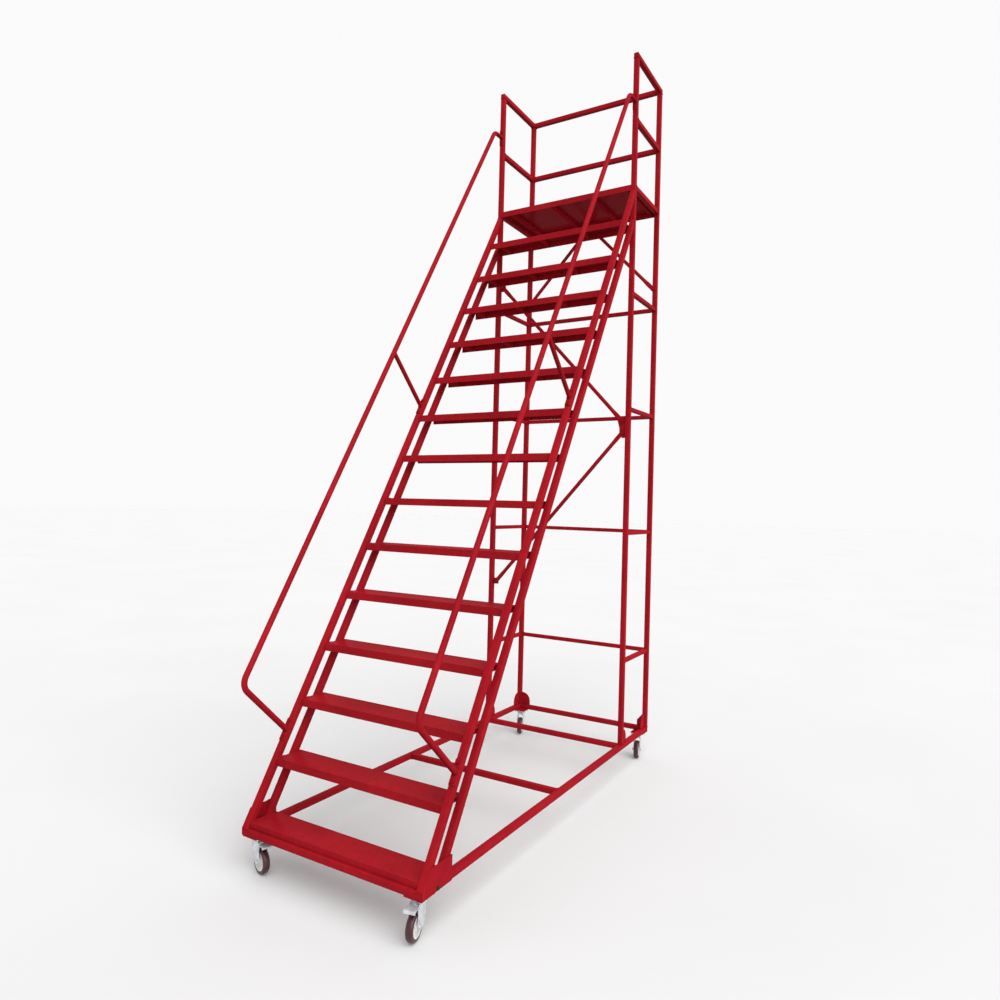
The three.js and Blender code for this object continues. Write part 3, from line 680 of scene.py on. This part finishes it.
CUT = 34 * MM  # depth of a stringer where it is cut level
POST_SEAM = 58 * MM  # height of the weld between a stringer and its post
base_beads = bmesh.new()
for side, sign in SIDES:
    x = sign * SIDE_X
    beam_end = (x, BEAM_HIGH.y, RAIL_TOP - TUBE / 2)
    add_bead(base_beads, square_loop(beam_end, (0, 1, 0), (0, 0, 1), TUBE), closed=True)
    left_x, right_x = x - TUBE / 2, x + TUBE / 2
    for depth in (0, BACK_STRINGER):
        near = nose_y(RAIL_TOP) + depth
        far = near + CUT
        add_bead(base_beads, [(left_x, near, RAIL_TOP), (left_x, far, RAIL_TOP),
                              (right_x, far, RAIL_TOP), (right_x, near, RAIL_TOP)], closed=True)
    for which in ("front", "back"):
        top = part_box(f"stringer_{which}_{side}")[1].z
        add_bead(base_beads, [(left_x, POST_FACE, top - POST_SEAM), (left_x, POST_FACE, top),
                              (right_x, POST_FACE, top), (right_x, POST_FACE, top - POST_SEAM)], closed=True)
    gusset_low, gusset_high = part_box(f"base_gusset_{side}")
    edge_x = sign * OUTER_X + sign * 2 * MM
    for start, end in ((gusset_low.y + 48 * MM, gusset_low.y + 85 * MM),
                       (gusset_low.y + 145 * MM, gusset_high.y - 5 * MM)):
        add_bead(base_beads, [(edge_x, start, gusset_high.z), (edge_x, end, gusset_high.z)])
make("base_welds", base_beads, WELD_PAINT)

# ------------------------------------------------------------------ handrail bolts and welds
HANDRAIL_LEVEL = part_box("handrail_right")[1].z - 54 * MM  # middle of the upper flange
FLANGE_FACE = 5.3 * MM  # from the post or stringer to the front of a flange
UPPER_BOLT, LOWER_BOLT = 35 * MM, 40 * MM  # from a flange's middle to its bolts
STRUT_FOOT_Y = NOSE.y + 1.221
LOWER_FOOT_Y = NOSE.y + 0.217
RING = 15 * MM  # radius of the weld round a handrail's end
RING_ANGLES = [2 * math.pi * k / 20 for k in range(20)]
rail_bolts = bmesh.new()
rail_beads = bmesh.new()
for side, sign in SIDES:
    x = sign * SIDE_X
    face_y = POST_FACE - FLANGE_FACE
    for offset in (-UPPER_BOLT, UPPER_BOLT):
        add_bolt(rail_bolts, (x, face_y, HANDRAIL_LEVEL + offset), (0, -1, 0), *SMALL_BOLT)
    for y in (STRUT_FOOT_Y, LOWER_FOOT_Y):
        foot = Vector((x, y, nose_z(y))) + OFF_SLOPE * FLANGE_FACE
        for offset in (-LOWER_BOLT, LOWER_BOLT):
            add_bolt(rail_bolts, foot + UP_SLOPE * offset, OFF_SLOPE, *SMALL_BOLT)
        ring = [foot + UP_SLOPE * RING * 1.04 * math.cos(a) + Vector((RING * math.sin(a), 0, 0))
                for a in RING_ANGLES]
        add_bead(rail_beads, ring, closed=True, radius=1.8 * MM)
    ring = [(x + RING * math.cos(a), face_y, HANDRAIL_LEVEL + RING * math.sin(a)) for a in RING_ANGLES]
    add_bead(rail_beads, ring, closed=True, radius=1.8 * MM)
make("handrail_bolts", rail_bolts, WELD_PAINT)
make("handrail_welds", rail_beads, WELD_PAINT)

# ------------------------------------------------------------------ casters
# drawn round the swivel axis with the wheel trailing towards -y, then turned and placed
WHEEL_RADIUS = 57.5 * MM
TRAIL = 40 * MM
LEG_IN, LEG_OUT = 19 * MM, 22 * MM
PLATE_BOTTOM, PLATE_TOP = (corner.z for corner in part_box("caster_plate_rear_right"))
CROWN_TOP = PLATE_BOTTOM - 0.3 * MM
SKIRT_FRONT, SKIRT_REAR = 122 * MM, 129 * MM  # lower edges of the crown's folded ends
PIVOT_Y, PIVOT_Z = -52 * MM, 136 * MM
PIVOT = (0, PIVOT_Y, PIVOT_Z)
HUB = (0, -TRAIL, WHEEL_RADIUS)
ACROSS, ALONG, UP, DOWN = (1, 0, 0), (0, 1, 0), (0, 0, 1), (0, 0, -1)

# turned shapes: distance along the axis, radius
RACEWAY = in_metres([(0, 27), (0, 31), (-2, 31), (-5, 29.5), (-8, 28.5), (-8, 12), (-6, 10), (-6, 6.4),
                     (0, 6.4), (0, 27)])
DISH = in_metres([(0, 6), (0, 28), (-2.5, 30), (-5, 29), (-7, 24), (-7, 0)])
KING_NUT = in_metres([(0, 0), (0, 9), (-6, 9), (-7, 7.5), (-7, 0)])
KING_PIN = in_metres([(0, 0), (0, 5.7), (13, 5.7), (13, 0)])
AXLE = in_metres([(-24, 0), (-24, 5), (24, 5), (24, 0)])
TYRE_SHOULDER = in_metres([(-15.4, 41.5), (-15.9, 45), (-15.6, 49.5), (-14.2, 53.4), (-11.2, 56.2),
                           (-7, 57.35), (-2.5, 57.5)])
TYRE_BORE = in_metres([(14.2, 41.0), (-14.2, 41.0)])
RIM_LOOP = in_metres([
    (-15.2, 36.5), (-15.6, 38.2), (-15.2, 41.6), (15.2, 41.6), (15.6, 38.2), (15.2, 36.5), (12.5, 35.6),
    (4, 34.6), (3.2, 33), (3.2, 17.5), (4, 16), (16.5, 15.2), (17.5, 14), (17.5, 9.5), (-17.5, 9.5),
    (-17.5, 14), (-16.5, 15.2), (-4, 16), (-3.2, 17.5), (-3.2, 33), (-4, 34.6), (-12.5, 35.6), (-15.2, 36.5)])
BEARING = in_metres([(17.4, 5.3), (18.2, 5.4), (18.2, 8.4), (17.7, 9.2), (16, 9.6), (16, 5.3), (17.4, 5.3)])
PEDAL_PIN = in_metres([(-24, 0), (-24, 4.5), (-22.3, 4.5), (-22.3, 2.5), (22.3, 2.5), (22.3, 4.5),
                       (24, 4.5), (24, 0)])
PEDAL_BARREL = in_metres([(-17, 2.8), (-17, 6.5), (17, 6.5), (17, 2.8), (-17, 2.8)])
TREAD_RIDGE = in_metres([(-23, 0), (-22, 1.0), (22, 1.0), (23, 0)])

# flat shapes
RIM_RIB = in_metres([(14.5, 2.5), (35.8, 2.5), (35.8, 11.5), (15, 14.5)])
PEDAL_ARM = in_metres([(0, 3.2), (0, 6.3), (-12.5, 6.3), (-12.5, 3.2)])
PEDAL_TREAD = in_metres([(-11.2, 3.4), (-11.2, 6.1), (-24, 5.9), (-35.6, 5.2), (-39.6, 3.8), (-41.6, 0.8),
                         (-42, -5.2), (-39.4, -5.2), (-38.8, 0.4), (-37.4, 1.8), (-34.6, 2.6), (-24, 3.2)])
SHOE = in_metres([(-4, -3.4), (-9.5, 3), (-18.6, 3), (-18.8, -16.8), (-17, -18.8), (-13.2, -20.6),
                  (-8, -19.8)])


def arc(cy, cz, radius, start, end, count):
    """Points (y, z) on an arc, with angles in degrees from +y towards +z."""
    angles = [math.radians(start + (end - start) * k / count) for k in range(count + 1)]
    return [(cy + radius * math.cos(a), cz + radius * math.sin(a)) for a in angles]


def fork_outline(pedal):
    """Side view of a pressed fork leg: a broad cheek, upright in front and drawn in to the axle behind."""
    points = arc(12 * MM, CROWN_TOP - 11 * MM, 10 * MM, 90, 0, 4)
    points += in_metres([(21.6, 108), (20, 92), (16, 74)])
    points += arc(-10 * MM, 68 * MM, 23 * MM, 345, 285, 5)
    points += arc(-TRAIL, WHEEL_RADIUS, 15 * MM, 280, 180, 7)
    points += in_metres([(-54, 78), (-50, 104)])
    points += arc(PIVOT_Y, PIVOT_Z, 7 * MM, 240, 130, 6) if pedal else in_metres([(-46, 126)])
    points += arc(-36 * MM, CROWN_TOP - 9 * MM, 8 * MM, 150, 90, 3)
    return points


def skirt_outline(rise):
    """A folded end of the crown, with a notch in its lower edge."""
    inner = LEG_IN + 0.5 * MM
    notch = in_metres([(-12, 0), (-7, 6), (7, 6), (12, 0)])
    return [(-inner, rise), (-inner, 0)] + notch + [(inner, 0), (inner, rise)]


def top_plate(done, place):
    """The bolted plate with rounded corners, and the pressed raceway under it."""
    bm = bmesh.new()
    corners = [(p.x, p.y) for p in rounded_square(40 * MM, 9 * MM, 4)]
    add_plate(bm, corners, UP, 4 * MM, (0, 0, PLATE_TOP - 2 * MM), ACROSS)
    plate = done("top_plate", bm, ZINC, "frame", 0.8 * MM)
    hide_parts(f"caster_plate_{place}")
    under = PLATE_TOP - 4 * MM
    bm = bmesh.new()
    add_turned(bm, RACEWAY, (0, 0, under), UP, 40)
    done("raceway", bm, ZINC, "frame")
    bm = bmesh.new()
    for x in (-32 * MM, 32 * MM):
        for y in (-32 * MM, 32 * MM):
            add_bolt(bm, (x, y, under), DOWN, 10 * MM, 5 * MM)
    done("plate_bolts", bm, BRIGHT, "frame")


def fork(done, place):
    """Two legs pressed from one sheet with the crown, the dish that holds the balls, and the axle bolt."""
    body = f"fork_{place}"
    bm = bmesh.new()
    outline = fork_outline(place.startswith("front"))
    for sign in (-1, 1):
        add_plate(bm, outline, ACROSS, LEG_OUT - LEG_IN, (sign * (LEG_IN + LEG_OUT) / 2, 0, 0), ALONG)
    front, rear = 22 * MM, -30 * MM
    crown = [(-LEG_OUT, rear), (LEG_OUT, rear), (LEG_OUT, front), (-LEG_OUT, front)]
    add_plate(bm, crown, UP, 3.6 * MM, (0, 0, CROWN_TOP - 2 * MM), ACROSS)
    for y, lower in ((20.5 * MM, SKIRT_FRONT), (-28.5 * MM, SKIRT_REAR)):
        outline = skirt_outline(CROWN_TOP - 2 * MM - lower)
        add_plate(bm, outline, (0, -1, 0), 2.6 * MM, (0, y, lower), ACROSS)
    shell = done("fork_shell", bm, ZINC, body, 1.1 * MM, 3)
    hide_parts(f"caster_fork_{place}")
    bm = bmesh.new()
    add_turned(bm, DISH, (0, 0, CROWN_TOP), UP, 36)
    add_turned(bm, KING_NUT, (0, 0, CROWN_TOP - 7 * MM), UP, 6)
    add_turned(bm, KING_PIN, (0, 0, CROWN_TOP - 1 * MM), UP, 20)
    done("crown_dish", bm, ZINC, body)
    bm = bmesh.new()
    add_turned(bm, AXLE, HUB, ACROSS, 20)
    add_bolt(bm, (LEG_OUT, -TRAIL, WHEEL_RADIUS), ACROSS, 15 * MM, 6 * MM)
    add_bolt(bm, (-LEG_OUT, -TRAIL, WHEEL_RADIUS), (-1, 0, 0), 15 * MM, 7 * MM)
    done("axle_bolt", bm, BRIGHT, body)


def wheel(done, place):
    """Polyurethane tyre, ribbed nylon centre and bearing."""
    body = f"wheel_{place}"
    bm = bmesh.new()
    tread = TYRE_SHOULDER + [(-a, r) for a, r in reversed(TYRE_SHOULDER)]
    add_turned(bm, tread + TYRE_BORE + tread[:1], HUB, ACROSS, 72)
    tyre = done("tyre", bm, TYRE, body, slot="wheel_polymer")
    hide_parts(f"caster_wheel_{place}")
    bm = bmesh.new()
    add_turned(bm, RIM_LOOP, HUB, ACROSS, 64)
    for k in range(12):
        spin = Matrix.Rotation(2 * math.pi * k / 12, 4, "X")
        for sign in (-1, 1):
            for vert in add_plate(bm, RIM_RIB, ALONG, 2.6 * MM, across=UP):
                vert.co = spin @ Vector((sign * abs(vert.co.x), vert.co.y, vert.co.z)) + Vector(HUB)
    done("rim", bm, RIM, body, slot="wheel_polymer")
    bm = bmesh.new()
    for sign in (-1, 1):
        add_turned(bm, [(sign * a, r) for a, r in BEARING], HUB, ACROSS, 32)
    done("bearing", bm, BRIGHT, body)


def brake_pedal(done, place):
    """Ridged pedal on a pin through the fork, with a black shoe over the tyre."""
    body = f"pedal_{place}"
    bm = bmesh.new()
    add_turned(bm, PEDAL_PIN, PIVOT, ACROSS, 18)
    done("pedal_pin", bm, BRIGHT, f"fork_{place}")
    bm = bmesh.new()
    for outline, width in ((PEDAL_ARM, 34 * MM), (PEDAL_TREAD, 52 * MM)):
        add_plate(bm, outline, ACROSS, width, PIVOT, ALONG)
    for k in range(5):
        y = PIVOT_Y - (16 + 4.4 * k) * MM
        add_turned(bm, TREAD_RIDGE, (0, y, PIVOT_Z + 5.6 * MM), ACROSS, 8)
    add_turned(bm, PEDAL_BARREL, PIVOT, ACROSS, 24)
    plate = done("pedal_plate", bm, ZINC, body, 0.5 * MM)
    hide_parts(f"brake_pedal_{place}")
    bm = bmesh.new()
    add_plate(bm, SHOE, ACROSS, 24 * MM, PIVOT, ALONG)
    done("brake_shoe", bm, BLACK_PLASTIC, body, 0.6 * MM)


def caster(place):
    joints = {joint["name"]: joint for joint in frame["joints"]}
    x, y = joints[f"swivel_{place}"]["pos_m"][:2]
    axis = joints[f"axle_{place}"]["axis"]
    fixed = Matrix.Translation((x, y, 0))
    turned = fixed @ Matrix.Rotation(math.atan2(axis[1], axis[0]), 4, "Z")

    def done(name, bm, material, body, bevel=0.0, segments=2, slot="zinc_plate"):
        bm.transform(fixed if body == "frame" else turned)
        return make(f"{name}_{place}", bm, material, body, bevel, segments)

    top_plate(done, place)
    fork(done, place)
    wheel(done, place)
    if place.startswith("front"):
        brake_pedal(done, place)


for place in ("front_left", "front_right", "rear_left", "rear_right"):
    caster(place)

# ------------------------------------------------------------------ floor, light and camera
FLOOR_SIZE = 160.0
floor_bm = bmesh.new()
bmesh.ops.create_grid(floor_bm, x_segments=1, y_segments=1, size=FLOOR_SIZE / 2)
floor_mesh = bpy.data.meshes.new("floor")
floor_bm.to_mesh(floor_mesh)
floor_bm.free()
floor = bpy.data.objects.new("floor", floor_mesh)
bpy.context.scene.collection.objects.link(floor)
floor_material, floor_tree, floor_shader = new_material("pale_floor")
floor_tone = noise(floor_tree, object_coords(floor_tree), 0.6, 3.0)
floor_colour = grey_ramp(floor_tree, floor_tone, (0.3, 0.63), (0.7, 0.65))
floor_tree.links.new(floor_colour, floor_shader.inputs["Base Color"])
floor_shader.inputs["Roughness"].default_value = 0.8
floor_mesh.materials.append(floor_material)

world = bpy.data.worlds.new("studio")
bpy.context.scene.world = world
world.use_nodes = True
studio = world.node_tree
background = studio.nodes["Background"]
# a white backdrop behind the stand, and a dimmer room on the other side
BACKDROP = (-0.5, 0.84, 0.2)
direction = studio.nodes.new("ShaderNodeTexCoord").outputs["Generated"]
towards = studio.nodes.new("ShaderNodeVectorMath")
towards.operation = "DOT_PRODUCT"
towards.inputs[1].default_value = BACKDROP
studio.links.new(direction, towards.inputs[0])
studio.links.new(grey_ramp(studio, towards.outputs["Value"], (0.20, 0.68), (0.58, 0.96)),
                 background.inputs["Color"])
background.inputs["Strength"].default_value = 1.0

sun = bpy.data.lights.new("window", "SUN")
sun.energy = 3.0
sun.angle = math.radians(75)
sun_lamp = bpy.data.objects.new("window", sun)
sun_lamp.rotation_euler = Vector((-0.62, 0.30, -0.72)).to_track_quat("-Z", "Y").to_euler()
bpy.context.scene.collection.objects.link(sun_lamp)

# camera in front of the stand and to its right
EYE = Vector((2.16264, NOSE.y - 2.27769, 1.70413))
YAW, PITCH, ROLL = (math.radians(a) for a in (30.79, 0.37, 1.45))
forward = Vector((-math.sin(YAW) * math.cos(PITCH), math.cos(YAW) * math.cos(PITCH), math.sin(PITCH)))
right = Vector((math.cos(YAW), math.sin(YAW), 0))
up = right.cross(forward)
camera_right = right * math.cos(ROLL) + up * math.sin(ROLL)
camera_up = up * math.cos(ROLL) - right * math.sin(ROLL)
camera_data = bpy.data.cameras.new("camera")
camera_data.sensor_width = 36.0
camera_data.lens = 26.009
camera_data.clip_end = 250.0  # past the far corner of the floor
camera = bpy.data.objects.new("camera", camera_data)
rotation = Matrix((camera_right, camera_up, -forward)).transposed().to_4x4()
camera.matrix_world = Matrix.Translation(EYE) @ rotation
bpy.context.scene.collection.objects.link(camera)
bpy.context.scene.camera = camera
bpy.context.scene.view_settings.view_transform = "Standard"
